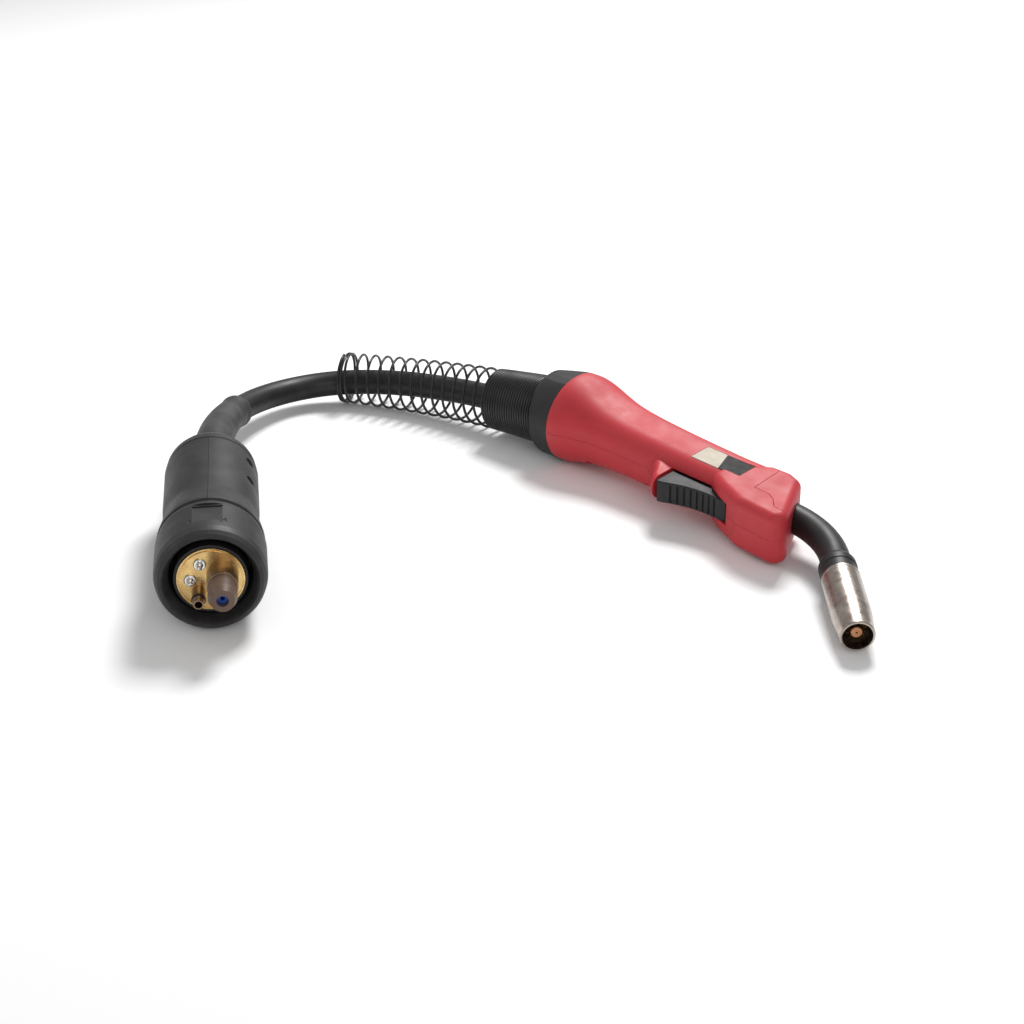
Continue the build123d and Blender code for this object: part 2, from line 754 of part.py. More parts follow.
with BuildPart() as plug_insulator:
    spin(
        plug,
        [
            (FACE_RADIUS + 0.05, -FACE_DEPTH - 0.8),
            (INSULATOR_RADIUS, -FACE_DEPTH - 0.8),
            (INSULATOR_RADIUS, -28),
            (20.2, -28),
            (20.2, -30.7),
            (INSULATOR_RADIUS, -30.7),
            (INSULATOR_RADIUS, -61),
            (20.6, -61),
            (20.6, -65),
            (9.2, -65),
            (9.2, -27),
            (FACE_RADIUS + 0.05, -27),
        ],
    )
    ring(nipple_seat, 3.3, 0, -70, -26, Mode.SUBTRACT)
    for x, y in CONTACT_SPOTS:
        ring(moved(plug, x, y), LEAD_ROOM, 0, -70, -26, Mode.SUBTRACT)
write(plug_insulator, "plug_insulator")

with BuildPart() as plug_body:
    spin(
        plug,
        [
            (0, -FACE_DEPTH),
            (15.1, -FACE_DEPTH),
            (15.1, -FACE_DEPTH - 0.6),
            (15.7, -FACE_DEPTH - 0.6),
            (15.7, -FACE_DEPTH),
            (FACE_RADIUS - 0.2, -FACE_DEPTH),
            (FACE_RADIUS, -FACE_DEPTH - 0.3),
            (FACE_RADIUS, -26.9),
            (9.1, -26.9),
            (9.1, -70),
            (0, -70),
        ],
    )
    ring(power_seat, 2.95, 0, -12, 0, Mode.SUBTRACT)
    ring(plug, 2.9, 0, -80, -40, Mode.SUBTRACT)
    for x, y in CONTACT_SPOTS:
        contact_seat = moved(plug, x, y)
        ring(contact_seat, BUSH_RADIUS + 0.05, 0, BUSH_REAR, 0, Mode.SUBTRACT)
        ring(contact_seat, 2.2, 0, -19.5, 0, Mode.SUBTRACT)
        ring(contact_seat, LEAD_ROOM, 0, -80, -19, Mode.SUBTRACT)
    ring(nipple_seat, 1.9, 0, -30, 0, Mode.SUBTRACT)
    ring(nipple_seat, 3.3, 0, -80, -26.95, Mode.SUBTRACT)
write(plug_body, "plug_body")

PIN_SHOULDER, PIN_END = 8.8, 22.6
with BuildPart() as power_pin:
    spin(
        power_seat,
        [
            (2.9, -FACE_DEPTH + 0.02),
            (7.6, -FACE_DEPTH + 0.02),
            (7.6, PIN_SHOULDER - 0.5),
            (7.2, PIN_SHOULDER),
            (5.2, PIN_SHOULDER),
            (5.2, 19),
            (2.9, 19),
        ],
    )
write(power_pin, "power_pin")

with BuildPart() as liner_nut:
    spin(
        power_seat,
        [
            (5.25, PIN_SHOULDER + 0.05),
            (7.0, PIN_SHOULDER + 0.05),
            (7.0, PIN_END - 3.6),
            (5.7, PIN_END),
            (2.9, PIN_END),
            (2.9, 19.05),
            (5.25, 19.05),
        ],
    )
write(liner_nut, "liner_nut")

with BuildPart() as wire_liner:
    ring(power_seat, 2.85, 1.1, -11.5, PIN_END - 2.5)
write(wire_liner, "wire_liner")

NIPPLE_END = 9.4
with BuildPart() as gas_nipple:
    spin(
        nipple_seat,
        [
            (1.85, -FACE_DEPTH + 0.02),
            (3.3, -FACE_DEPTH + 0.02),
            (3.3, 3.6),
            (2.3, 3.6),
            (2.3, 5.6),
            (3.0, 5.6),
            (3.0, 6.6),
            (2.7, 7.0),
            (2.7, NIPPLE_END - 0.4),
            (2.4, NIPPLE_END),
            (1.85, NIPPLE_END),
        ],
    )
write(gas_nipple, "gas_nipple")

with BuildPart() as nipple_o_ring:
    seal = moved(nipple_seat, 0, 0, 4.6)
    with BuildSketch(across(seal)) as seal_section:
        with Locations((2.95, 0)):
            Circle(0.62)
    revolve(seal_section.sketch, axis=Axis(seal.origin, seal.z_dir))
write(nipple_o_ring, "nipple_o_ring")

with BuildPart() as pin_bushes:
    for x, y in CONTACT_SPOTS:
        bush = moved(plug, x, y)
        spin(
            bush,
            [
                (BUSH_BORE, BUSH_REAR),
                (BUSH_RADIUS, BUSH_REAR),
                (BUSH_RADIUS, -2.6),
                (2.6, -2.2),
                (BUSH_BORE, -2.2),
            ],
        )
write(pin_bushes, "pin_bushes")

BARREL_FRONT, BARREL_REAR = -13.05, -19.4
with BuildPart() as pin_barrels:
    for x, y in CONTACT_SPOTS:
        barrel = moved(plug, x, y)
        ring(barrel, 2.15, 0, BARREL_REAR, BARREL_FRONT)
        ring(barrel, BUSH_BORE, 0, BARREL_REAR + 0.6, 0, Mode.SUBTRACT)
write(pin_barrels, "pin_barrels")

CONTACT_PIN_OUTLINE = [
    (0, -12.6),
    (1.72, -12.6),
    (1.72, -2.0),
    (1.25, -1.6),
    (1.25, 0.9),
    (0.9, 1.5),
    (0, 1.8),
]
with BuildPart() as contact_pin_upper:
    spin(moved(plug, *CONTACT_SPOTS[0]), CONTACT_PIN_OUTLINE)
write(contact_pin_upper, "contact_pin_upper")

with BuildPart() as contact_pin_lower:
    spin(moved(plug, *CONTACT_SPOTS[1]), CONTACT_PIN_OUTLINE)
write(contact_pin_lower, "contact_pin_lower")

with BuildPart() as nut_retainer:
    ring(plug, 19.8, INSULATOR_RADIUS + 0.02, -NUT_LENGTH - 1.5, -NUT_LENGTH - 0.3)
    box(plug, (14, 22), (-1.5, 1.5), -NUT_LENGTH - 2, -NUT_LENGTH, Mode.SUBTRACT)
write(nut_retainer, "nut_retainer")

# ---------------------------------------------------------------- connector: housing
HOUSING_FRONT = -NUT_LENGTH - 0.6
HOUSING_REAR = -116.0
REAR_END = -137.0
HOUSING_SCREWS = [(12.5, -84.0), (-12.5, -84.0), (12.5, -106.0), (-12.5, -106.0)]
# the shallow panel on top of the housing: distance to the left, distance behind the mouth
PANEL_OUTLINE = [
    (-9, 112.5),
    (0, 114.5),
    (9.5, 112),
    (16, 104),
    (17.5, 62),
    (-17.5, 62),
    (-16, 104),
]
PANEL_FLOOR = 24.2

with BuildPart() as housing:
    spin(
        plug,
        [
            (20.2, HOUSING_FRONT),
            (26.0, HOUSING_FRONT),
            (27.0, HOUSING_FRONT - 1),
            (26.8, HOUSING_FRONT - 4),
            (24.3, -58),
            (24.2, -62),
            (PLUG_SHELL_RADIUS, -75),
            (PLUG_SHELL_RADIUS, HOUSING_REAR + 0.8),
            (PLUG_SHELL_RADIUS - 0.8, HOUSING_REAR),
            (21.0, HOUSING_REAR),
            (21.0, -66),
            (20.8, -60.5),
            (INSULATOR_RADIUS + 0.1, -60.5),
            (INSULATOR_RADIUS + 0.1, -39),
            (20.2, -39),
        ],
    )
    for x, z in HOUSING_SCREWS:
        boss = Plane(origin=spot(plug, x, 0, z), x_dir=plug.x_dir, z_dir=plug.y_dir)
        ring(boss, 3.4, 0, -17.2, 17.2)

with BuildPart() as panel_relief:
    top_view = Plane(origin=plug.origin, x_dir=plug.y_dir, z_dir=plug.x_dir)
    slab(top_view, PANEL_OUTLINE, 0, 30)
    ring(plug, PANEL_FLOOR, 0, -130, -40, Mode.SUBTRACT)


def housing_half(side):
    """The half of the housing on one side of the upright plane through the connector's axis."""
    with BuildPart() as half:
        add(housing.part)
        add(panel_relief.part, mode=Mode.SUBTRACT)
        cut = (-60, SEAM / 2) if side > 0 else (-SEAM / 2, 60)
        box(plug, (-60, 60), cut, -140, 10, Mode.SUBTRACT)
        for x, z in HOUSING_SCREWS:
            post = Plane(origin=spot(plug, x, 0, z), x_dir=plug.x_dir, z_dir=plug.y_dir)
            if side > 0:
                ring(post, 1.5, 0, -1, 10, Mode.SUBTRACT)
            else:
                ring(post, 1.7, 0, -30, 1, Mode.SUBTRACT)
                ring(post, 2.9, 0, -30, -13, Mode.SUBTRACT)
    return half


housing_left = housing_half(1)
write(housing_left, "housing_left")

housing_right = housing_half(-1)
write(housing_right, "housing_right")

with BuildPart() as housing_screws:
    for x, z in HOUSING_SCREWS:
        post = Plane(origin=spot(plug, x, 0, z), x_dir=plug.x_dir, z_dir=plug.y_dir)
        ring(post, HEAD_RADIUS, 0, -13 - HEAD_HEIGHT, -13)
        ring(post, SCREW_RADIUS, 0, -13, 9)
write(housing_screws, "housing_screws")

BOOT_MOUTH = 12.2
with BuildPart() as housing_cap:
    spin(
        plug,
        [
            (20.9, HOUSING_REAR + 4),
            (20.9, HOUSING_REAR - 0.6),
            (23.8, HOUSING_REAR - 0.6),
            (24.4, HOUSING_REAR - 1.4),
            (23.8, -123),
            (21.5, -129),
            (17.0, -134.5),
            (14.5, REAR_END),
            (BOOT_MOUTH, REAR_END),
            (BOOT_MOUTH, -132),
            (18.0, -126),
            (18.6, HOUSING_REAR + 4),
        ],
    )
write(housing_cap, "housing_cap")

with BuildPart() as cable_crimp:
    ring(plug, 6.0, 2.0, -118, -70.1)
    hexagon(moved(plug, 0, 0, -101), 9.5, 0, 12)
    ring(plug, 8.6, 6.0, -123.6, -100)
    ring(plug, 8.6, CABLE_RADIUS + 0.05, -126.6, -123.0)
    ring(plug, 2.0, 0, -130, -70, Mode.SUBTRACT)
write(cable_crimp, "cable_crimp")

HOSE_SPOTS = [(-6.7, 6.2, -27.1), (-6.7, 6.2, -73.2), (-5, 13, -84), (-5, 13, -112)]
with BuildPart() as gas_hose:
    hose_line = [spot(plug, *point) for point in HOSE_SPOTS]
    tube(hose_line, 3.0, 12.0)
write(gas_hose, "gas_hose")

LEAD_SPOTS = [
    [(8.4, 4.8, -19.6), (8.4, 4.8, -73), (6, 12.5, -84), (6, 12.5, -110)],
    [(0.2, 9.8, -19.6), (0.2, 9.8, -73), (1.5, 14, -84), (1.5, 14, -110)],
]
with BuildPart() as control_leads:
    for lead in LEAD_SPOTS:
        tube([spot(plug, *point) for point in lead], LEAD_RADIUS, 8.0)
write(control_leads, "control_leads")

# ---------------------------------------------------------------- cable boot
BOOT_FLANGE_RADIUS, BOOT_REAR_RADIUS, BOOT_LIP_RADIUS = 13.2, 11.5, 9.5
BOOT_TAPER = (14.0, 99.0, 11.5, 8.9)  # distances along the cable, then the radii there
BOOT_STEPS = 14
boot_stations = [(3.2, BOOT_FLANGE_RADIUS), (7.0, BOOT_FLANGE_RADIUS), (7.3, BOOT_REAR_RADIUS)]
taper_start, taper_end, wide, narrow = BOOT_TAPER
for k in range(BOOT_STEPS + 1):
    share = k / BOOT_STEPS
    here = taper_start + (taper_end - taper_start) * share
    boot_stations.append((here, wide + (narrow - wide) * share))
boot_stations += [(99.6, BOOT_LIP_RADIUS), (102.4, BOOT_LIP_RADIUS)]

with BuildPart() as boot_room:
    tube(CABLE_ROUTE, CABLE_RADIUS + GAP)

with BuildPart() as cable_boot:
    rings = []
    for distance, radius in boot_stations:
        place = cable_line.position_at(distance, position_mode=PositionMode.LENGTH)
        heading = cable_line.tangent_at(distance, position_mode=PositionMode.LENGTH)
        with BuildSketch(Plane(origin=place, x_dir=(0, 0, 1), z_dir=heading)) as boot_section:
            Circle(radius)
        rings.append(boot_section.sketch)
    loft(rings, ruled=True)
    add(boot_room.part, mode=Mode.SUBTRACT)
write(cable_boot, "cable_boot")
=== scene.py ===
import math

import bpy
from mathutils import Matrix, Vector


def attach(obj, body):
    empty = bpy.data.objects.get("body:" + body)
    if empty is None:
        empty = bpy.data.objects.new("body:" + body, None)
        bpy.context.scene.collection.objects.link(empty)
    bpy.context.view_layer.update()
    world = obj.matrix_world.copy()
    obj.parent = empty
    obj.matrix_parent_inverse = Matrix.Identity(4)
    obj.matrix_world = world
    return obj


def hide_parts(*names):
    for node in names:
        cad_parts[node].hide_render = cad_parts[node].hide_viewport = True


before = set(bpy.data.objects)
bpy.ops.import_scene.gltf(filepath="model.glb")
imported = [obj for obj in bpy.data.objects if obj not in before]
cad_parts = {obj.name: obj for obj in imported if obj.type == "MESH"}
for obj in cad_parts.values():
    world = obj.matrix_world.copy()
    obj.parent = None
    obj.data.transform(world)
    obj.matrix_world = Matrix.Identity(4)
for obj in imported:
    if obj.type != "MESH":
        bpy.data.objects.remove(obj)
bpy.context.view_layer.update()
MM = 0.001

# ------------------------------------------------------------------ camera
# The camera looks down at the torch from its trigger side, with the connector nearest.
CAMERA_PLACE = Vector((0.5891, -0.7247, 0.4745))
CAMERA_TARGET = Vector((-0.0847, -0.0520, 0.0))
CAMERA_LENS = 68.62
SENSOR_WIDTH = 36.0
CLIP_START = 0.05

camera_data = bpy.data.cameras.new("camera")
camera_data.lens = CAMERA_LENS
camera_data.sensor_width = SENSOR_WIDTH
camera_data.clip_start = CLIP_START
camera = bpy.data.objects.new("camera", camera_data)
camera.location = CAMERA_PLACE
camera.rotation_euler = (CAMERA_TARGET - CAMERA_PLACE).to_track_quat("-Z", "Y").to_euler()
bpy.context.collection.objects.link(camera)
bpy.context.scene.camera = camera

# ------------------------------------------------------------------ frames of the object
# The torch frame: u along the handle, v to the back of the hand. Its third axis points to the upper side.
NOSE_DOWN = math.radians(2.5)
TRIGGER_DOWN = math.radians(4.0)
TORCH_ORIGIN = Vector((-113.0, 24.1, 26.3)) * MM
PITCH = Matrix.Rotation(NOSE_DOWN, 3, "Y")
ALONG = PITCH @ Vector((1, 0, 0))
UPPER = PITCH @ Matrix.Rotation(TRIGGER_DOWN, 3, "X") @ Vector((0, 0, 1))
BACK = UPPER.cross(ALONG)
# The connector's mouth: its heading and its centre.
PLUG_YAW = math.radians(-37.3)
PLUG_ORIGIN = Vector((-94.0, -246.5, 27.5)) * MM
MOUTH = Vector((math.cos(PLUG_YAW), math.sin(PLUG_YAW), 0))

# ------------------------------------------------------------------ the cord
CABLE_RADIUS = 7.5 * MM
CABLE_ROUTE = [
    (-120.5, 22.6, 24.9),
    (-140, 20.4, 23.2),
    (-169, 17.6, 21),
    (-203, 12, 18.5),
    (-237, 0.5, 16),
    (-267, -18.5, 13),
    (-281, -44.5, 11.8),
    (-276, -78.5, 15.8),
    (-255, -115, 22.5),
    (-222.5, -148.6, 27.4),
    (-192.6, -171.4, 27.5),
]
LINE_STEPS = 24  # steps in each span of a smooth line
CABLE_SIDE_STEPS = 12


def spline_curve(name, points, bevel):
    """A smooth NURBS line through given control points, in metres."""
    curve = bpy.data.curves.new(name, "CURVE")
    curve.dimensions = "3D"
    spline = curve.splines.new("NURBS")
    spline.points.add(len(points) - 1)
    for control, (x, y, z) in zip(spline.points, points):
        control.co = (x * MM, y * MM, z * MM, 1.0)
    spline.order_u = 3
    spline.use_endpoint_u = True
    spline.resolution_u = LINE_STEPS
    curve.resolution_u = LINE_STEPS
    curve.bevel_depth = bevel
    curve.bevel_resolution = CABLE_SIDE_STEPS
    curve.use_fill_caps = bevel > 0
    piece = bpy.data.objects.new(name, curve)
    bpy.context.collection.objects.link(piece)
    return piece


def line_points(points):
    """The points that the smooth line through these control points follows."""
    guide = spline_curve("guide", points, 0.0)
    bpy.context.view_layer.update()
    mesh = bpy.data.meshes.new_from_object(guide)
    places = [vertex.co.copy() for vertex in mesh.vertices]
    bpy.data.meshes.remove(mesh)
    bpy.data.objects.remove(guide)
    return places


HEADING_STEP = 0.4 * MM


class Line:
    """A line of points that can be read at any distance along it."""

    def __init__(self, points):
        self.points = points
        self.at = [0.0]
        for a, b in zip(points, points[1:]):
            self.at.append(self.at[-1] + (b - a).length)
        self.length = self.at[-1]

    def place(self, distance):
        distance = min(max(distance, 0.0), self.length)
        k = 0
        while k < len(self.at) - 2 and self.at[k + 1] < distance:
            k += 1
        share = (distance - self.at[k]) / (self.at[k + 1] - self.at[k])
        return self.points[k].lerp(self.points[k + 1], share)

    def heading(self, distance):
        return (self.place(distance + HEADING_STEP) - self.place(distance - HEADING_STEP)).normalized()


def mesh_piece(name, vertices, faces, smooth=True):
    """An object made of these vertices and faces."""
    mesh = bpy.data.meshes.new(name)
    mesh.from_pydata([tuple(v) for v in vertices], [], faces)
    mesh.update()
    for polygon in mesh.polygons:
        polygon.use_smooth = smooth
    piece = bpy.data.objects.new(name, mesh)
    bpy.context.collection.objects.link(piece)
    return piece


def across(heading):
    """Two directions square to a heading, the first one as near as can be to straight up."""
    up = Vector((0, 0, 1))
    first = (up - heading * up.dot(heading)).normalized()
    return first, heading.cross(first)


def swept(name, stations, sides):
    """A closed skin over rings: each station is (centre, first direction, second direction, radius)."""
    vertices, faces = [], []
    for centre, first, second, radius in stations:
        for k in range(sides):
            angle = 2 * math.pi * k / sides
            vertices.append(centre + (first * math.cos(angle) + second * math.sin(angle)) * radius)
    for r in range(len(stations) - 1):
        for k in range(sides):
            a, b = r * sides + k, r * sides + (k + 1) % sides
            faces.append((a, b, b + sides, a + sides))
    faces.append(tuple(reversed(range(sides))))
    faces.append(tuple(range((len(stations) - 1) * sides, len(stations) * sides)))
    return mesh_piece(name, vertices, faces)


# ------------------------------------------------------------------ materials
BEVEL_SAMPLES = 6


class Surface:
    """A procedural material under construction, in its object's coordinates."""

    def __init__(self, name):
        self.material = bpy.data.materials.new(name)
        self.material.use_nodes = True
        self.tree = self.material.node_tree
        self.bsdf = self.tree.nodes["Principled BSDF"]
        self.where = self.node("ShaderNodeTexCoord").outputs["Object"]

    def node(self, kind, **settings):
        made = self.tree.nodes.new(kind)
        for key, value in settings.items():
            setattr(made, key, value)
        return made

    def link(self, source, target):
        self.tree.links.new(source, target)

    def set(self, **values):
        for key, value in values.items():
            self.bsdf.inputs[key.replace("_", " ")].default_value = value

    def noise(self, scale, detail=3.0, rough=0.5):
        made = self.node("ShaderNodeTexNoise")
        made.inputs["Scale"].default_value = scale
        made.inputs["Detail"].default_value = detail
        made.inputs["Roughness"].default_value = rough
        self.link(self.where, made.inputs["Vector"])
        return made.outputs["Fac"]

    def remap(self, value, low, high, to_low, to_high):
        """The range from low to high, carried over to another one and held at its ends."""
        made = self.node("ShaderNodeMapRange")
        for key, number in (("From Min", low), ("From Max", high), ("To Min", to_low), ("To Max", to_high)):
            made.inputs[key].default_value = number
        self.link(value, made.inputs["Value"])
        return made.outputs["Result"]

    def math(self, operation, a, b):
        made = self.node("ShaderNodeMath", operation=operation)
        for slot, value in zip(made.inputs, (a, b)):
            if isinstance(value, (int, float)):
                slot.default_value = value
            else:
                self.link(value, slot)
        return made.outputs["Value"]

    def mix(self, share, a, b):
        """A blend of two colours, each one a colour or a socket, by a share socket."""
        made = self.node("ShaderNodeMix", data_type="RGBA")
        self.link(share, made.inputs["Factor"])
        for slot, value in ((made.inputs[6], a), (made.inputs[7], b)):
            if isinstance(value, (tuple, list)):
                slot.default_value = (*value[:3], 1.0)
            else:
                self.link(value, slot)
        return made.outputs[2]

    def along(self, direction, origin):
        """The distance of a surface point from an origin along a direction, in millimetres."""
        offset = self.node("ShaderNodeVectorMath", operation="SUBTRACT")
        self.link(self.where, offset.inputs[0])
        offset.inputs[1].default_value = origin
        dot = self.node("ShaderNodeVectorMath", operation="DOT_PRODUCT")
        self.link(offset.outputs["Vector"], dot.inputs[0])
        dot.inputs[1].default_value = direction / MM
        return dot.outputs["Value"]

    def wear(self, radius):
        """How close a point is to a sharp edge, from 0 to about 1."""
        rounded = self.node("ShaderNodeBevel", samples=BEVEL_SAMPLES)
        rounded.inputs["Radius"].default_value = radius
        true = self.node("ShaderNodeNewGeometry")
        dot = self.node("ShaderNodeVectorMath", operation="DOT_PRODUCT")
        self.link(rounded.outputs["Normal"], dot.inputs[0])
        self.link(true.outputs["Normal"], dot.inputs[1])
        return self.remap(dot.outputs["Value"], 0.995, 0.85, 0.0, 1.0)

    def bump(self, heights, edge):
        """Fine relief from (height socket, depth in metres) pairs over slightly rounded edges."""
        normal = None
        if edge:
            rounded = self.node("ShaderNodeBevel", samples=BEVEL_SAMPLES)
            rounded.inputs["Radius"].default_value = edge
            normal = rounded.outputs["Normal"]
        for height, depth in heights:
            made = self.node("ShaderNodeBump")
            made.inputs["Strength"].default_value = 1.0
            made.inputs["Distance"].default_value = depth
            self.link(height, made.inputs["Height"])
            if normal:
                self.link(normal, made.inputs["Normal"])
            normal = made.outputs["Normal"]
        self.link(normal, self.bsdf.inputs["Normal"])


DUST = (0.30, 0.29, 0.28)


def moulded(name, color, rough, grain=2200, depth=0.03, mottle=0.12, dust=0.0, edge=0.35, wear=0.25):
    """Moulded plastic or rubber: fine grain, uneven gloss, slightly paler edges, dust in places."""
    s = Surface(name)
    s.set(Specular_IOR_Level=0.32)
    dark = [c * (1 - mottle) for c in color]
    light = [min(1.0, c * (1 + mottle)) for c in color]
    shade = s.mix(s.remap(s.noise(38, 4.0), 0.35, 0.65, 0.0, 1.0), dark, light)
    if dust:
        patches = s.remap(s.noise(75, 6.0, 0.65), 0.45, 0.75, 0.0, dust)
        shade = s.mix(patches, shade, DUST)
    if wear:
        edges = s.math("MULTIPLY", s.wear(0.5 * MM), s.remap(s.noise(400), 0.35, 0.7, 0.0, wear))
        shade = s.mix(edges, shade, [min(1.0, c * 2.2 + 0.03) for c in color])
    s.link(shade, s.bsdf.inputs["Base Color"])
    s.link(s.remap(s.noise(90, 5.0), 0.3, 0.7, rough - 0.06, rough + 0.07), s.bsdf.inputs["Roughness"])
    s.bump([(s.noise(grain, 2.0), depth * MM), (s.noise(140, 2.0), 0.02 * MM)], edge * MM)
    return s


def metal(name, color, rough, turned=None, tarnish=None, edge=0.15, depth=0.01):
    """Bare metal: turned rings about an axis, or fine random scratches, with tarnish."""
    s = Surface(name)
    s.set(Metallic=1.0)
    shade = s.mix(s.remap(s.noise(120, 5.0), 0.35, 0.65, 0.0, 1.0), [c * 0.86 for c in color], color)
    if tarnish:
        stain = s.remap(s.noise(160, 6.0, 0.7), 0.42, 0.72, 0.0, 0.75)
        shade = s.mix(stain, shade, tarnish)
    s.link(shade, s.bsdf.inputs["Base Color"])
    s.link(s.remap(s.noise(300, 4.0), 0.3, 0.7, rough - 0.07, rough + 0.1), s.bsdf.inputs["Roughness"])
    heights = [(s.noise(1800, 3.0), depth * MM)]
    if turned:
        direction, origin = turned
        height = s.along(direction, origin)
        waves = s.node("ShaderNodeTexNoise", noise_dimensions="1D")
        waves.inputs["Scale"].default_value = 9.0
        waves.inputs["Detail"].default_value = 3.0
        s.link(height, waves.inputs["W"])
        heights.append((waves.outputs["Fac"], 0.012 * MM))
    s.bump(heights, edge * MM)
    return s


RED = (0.50, 0.026, 0.036)
BLACK = (0.022, 0.021, 0.022)
red_shell = moulded("red_shell", RED, 0.54, grain=1900, depth=0.035, mottle=0.05, wear=0.12, edge=0.6)
red_shell.set(Specular_IOR_Level=0.45)
black_plastic = moulded("black_plastic", BLACK, 0.54, grain=1700, depth=0.045)
trigger_plastic = moulded("trigger_plastic", (0.016, 0.015, 0.016), 0.50, grain=2500, depth=0.02)
housing_plastic = moulded(
    "housing_plastic", (0.026, 0.025, 0.026), 0.54, grain=1500, depth=0.06, dust=0.06
)
boot_rubber = moulded("boot_rubber", (0.036, 0.035, 0.036), 0.58, grain=1300, depth=0.05, dust=0.16)
cable_rubber = moulded(
    "cable_rubber", (0.013, 0.0125, 0.013), 0.44, grain=2600, depth=0.012, wear=0, dust=0.03
)
spring_coat = moulded(
    "spring_coat", (0.020, 0.020, 0.021), 0.34, grain=3000, depth=0.008, wear=0, edge=0
)
neck_coat = moulded("neck_coat", (0.014, 0.0135, 0.014), 0.45, grain=2400, depth=0.02)
white_plastic = moulded("white_plastic", (0.78, 0.76, 0.70), 0.35, depth=0.01, wear=0)
seal_rubber = moulded("seal_rubber", (0.018, 0.018, 0.018), 0.45, wear=0)
nut_plastic = moulded("nut_plastic", (0.12, 0.075, 0.052), 0.40, grain=1500, depth=0.02, mottle=0.12)
liner_blue = moulded("liner_blue", (0.012, 0.055, 0.30), 0.35, depth=0.01, wear=0)
hose_rubber = moulded("hose_rubber", (0.03, 0.03, 0.03), 0.5, wear=0)
lead_jacket = moulded("lead_jacket", (0.45, 0.03, 0.03), 0.4, wear=0)
PLUG_AXIS = (MOUTH, PLUG_ORIGIN)
brass = metal("brass", (0.80, 0.56, 0.24), 0.26, turned=PLUG_AXIS, tarnish=(0.50, 0.30, 0.11))
# Painted shade: a darkened copy of the turned brass and its tarnish, used for the power pin and the gas
# nipple.
brass_painted_shade = metal("brass_painted_shade", (0.34, 0.235, 0.15), 0.36, turned=PLUG_AXIS, tarnish=(0.22, 0.14, 0.09))
copper = metal("copper", (0.72, 0.36, 0.18), 0.30, tarnish=(0.35, 0.16, 0.08))
steel = metal("steel", (0.55, 0.55, 0.56), 0.28)
dark_steel = metal("dark_steel", (0.06, 0.06, 0.065), 0.42)
pin_silver = metal("pin_silver", (0.86, 0.85, 0.82), 0.20)
nickel = metal("nickel", (0.50, 0.445, 0.40), 0.30, tarnish=(0.30, 0.22, 0.17), depth=0.006)


# The plate's two halves meet where u + PLATE_SLANT * v is PLATE_SPLIT, in millimetres.
PLATE_SPLIT = 113.5
PLATE_SLANT = 0.35
PLATE_BLUR = 0.08


def plate_material():
    """The plain two-tone plate: pale at the rear, dark at the front, split by a slant."""
    s = Surface("label_plate")
    u = s.along(ALONG, TORCH_ORIGIN)
    v = s.along(BACK, TORCH_ORIGIN)
    slant = s.math("SUBTRACT", s.math("ADD", u, s.math("MULTIPLY", v, PLATE_SLANT)), PLATE_SPLIT)
    side = s.remap(slant, -PLATE_BLUR, PLATE_BLUR, 0.0, 1.0)
    blotches = s.remap(s.noise(150, 4.0), 0.35, 0.65, 0.0, 1.0)
    pale = s.mix(blotches, (0.52, 0.46, 0.37), (0.60, 0.54, 0.45))
    dark = s.mix(blotches, (0.010, 0.009, 0.009), (0.018, 0.016, 0.015))
    s.link(s.mix(side, pale, dark), s.bsdf.inputs["Base Color"])
    s.link(s.remap(s.noise(200, 3.0), 0.3, 0.7, 0.50, 0.62), s.bsdf.inputs["Roughness"])
    s.set(Specular_IOR_Level=0.15)
    s.bump([(s.noise(1800, 2.0), 0.008 * MM)], 0.15 * MM)
    return s


label_two_tone = plate_material()

NODE_SURFACES = {
    "handle_shell_left": red_shell,
    "handle_shell_right": red_shell,
    "front_cap": red_shell,
    "shell_screws": dark_steel,
    "label_plate": label_two_tone,
    "handle_collar": black_plastic,
    "spring_seat": black_plastic,
    "support_spring": spring_coat,
    "neck_core": copper,
    "neck_sleeve": neck_coat,
    "neck_nut": brass,
    "nozzle_collar": neck_coat,
    "nozzle_insulator": white_plastic,
    "nozzle_spring": steel,
    "tip_holder": brass,
    "contact_tip": copper,
    "gas_nozzle": nickel,
    "trigger": trigger_plastic,
    "trigger_pin": steel,
    "microswitch": black_plastic,
    "switch_plunger": white_plastic,
    "switch_terminals": brass,
    "switch_leads": lead_jacket,
    "power_cable": cable_rubber,
    "cable_fitting": brass,
    "crimp_ferrule": steel,
    "connector_nut": housing_plastic,
    "plug_insulator": black_plastic,
    "plug_body": brass,
    "power_pin": brass_painted_shade,
    "liner_nut": nut_plastic,
    "wire_liner": liner_blue,
    "gas_nipple": brass_painted_shade,
    "nipple_o_ring": seal_rubber,
    "pin_bushes": pin_silver,
    "pin_barrels": brass,
    "contact_pin_upper": pin_silver,
    "contact_pin_lower": pin_silver,
    "nut_retainer": steel,
    "housing_left": housing_plastic,
    "housing_right": housing_plastic,
    "housing_screws": dark_steel,
    "housing_cap": housing_plastic,
    "cable_crimp": brass,
    "gas_hose": hose_rubber,
    "control_leads": lead_jacket,
    "cable_boot": boot_rubber,
}


def dress(piece, surface):
    """Gives an object one material on all its slots, without touching a CAD node's mesh."""
    if not piece.material_slots:
        piece.data.materials.append(surface.material)
    for slot in piece.material_slots:
        slot.link = "OBJECT"
        slot.material = surface.material


for node, surface in NODE_SURFACES.items():
    dress(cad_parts[node], surface)

# ------------------------------------------------------------------ cable
ROOT = "torch_and_cable"
cable = spline_curve("cable", CABLE_ROUTE, CABLE_RADIUS)
dress(cable, cable_rubber)
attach(cable, ROOT)
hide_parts("power_cable")
cable_line = Line(line_points(CABLE_ROUTE))

